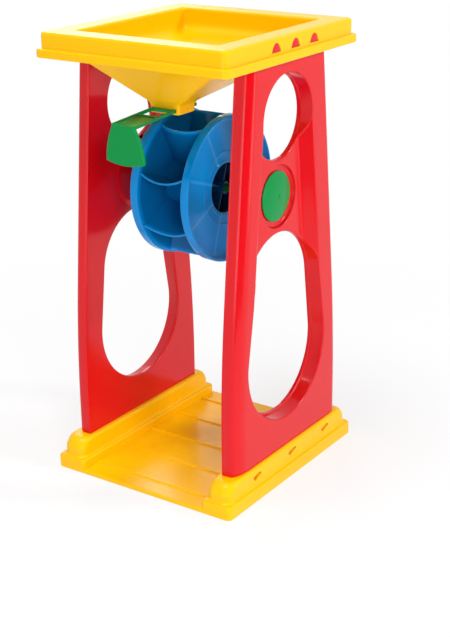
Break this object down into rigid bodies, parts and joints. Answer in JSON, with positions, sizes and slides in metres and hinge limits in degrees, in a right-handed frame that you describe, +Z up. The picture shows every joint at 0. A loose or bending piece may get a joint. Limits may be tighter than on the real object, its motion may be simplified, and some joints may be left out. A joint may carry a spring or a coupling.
{
  "type": "sand wheel toy",
  "caption": "Toy sand mill: a hopper with a sliding gate on two side frames drops sand on a turning paddle wheel over an open bay.",
  "frame": {"origin": "middle of the base's underside, where the toy stands", "axes": "+Z up, +X along the wheel's axle, -Y towards the gate's handle"},
  "size_m": [0.2188, 0.2411, 0.45],
  "materials": {
    "yellow": "glossy moulded",
    "red": "glossy moulded",
    "green": "glossy moulded",
    "blue": "glossy translucent"
  },
  "bodies": {
    "stand": {"base": "yellow", "left_frame_shell": "red", "left_frame_cover": "red", "right_frame_shell": "red", "right_frame_cover": "red", "hopper": "yellow"},
    "wheel": {"wheel_drum": "blue", "wheel_disc": "blue", "axle": "green", "left_axle_cap": "green", "right_axle_cap": "green"},
    "gate": {"gate_slide": "green"}
  },
  "joints": [
    {"name": "wheel_spin", "type": "hinge", "parent": "stand", "child": "wheel", "pos_m": [0, 0, 0.2934], "axis": [1, 0, 0], "continuous": true},
    {"name": "gate_slide", "type": "slide", "parent": "stand", "child": "gate", "axis": [0, 0.9982, 0.0593], "range_m": [0, 0.028]}
  ]
}
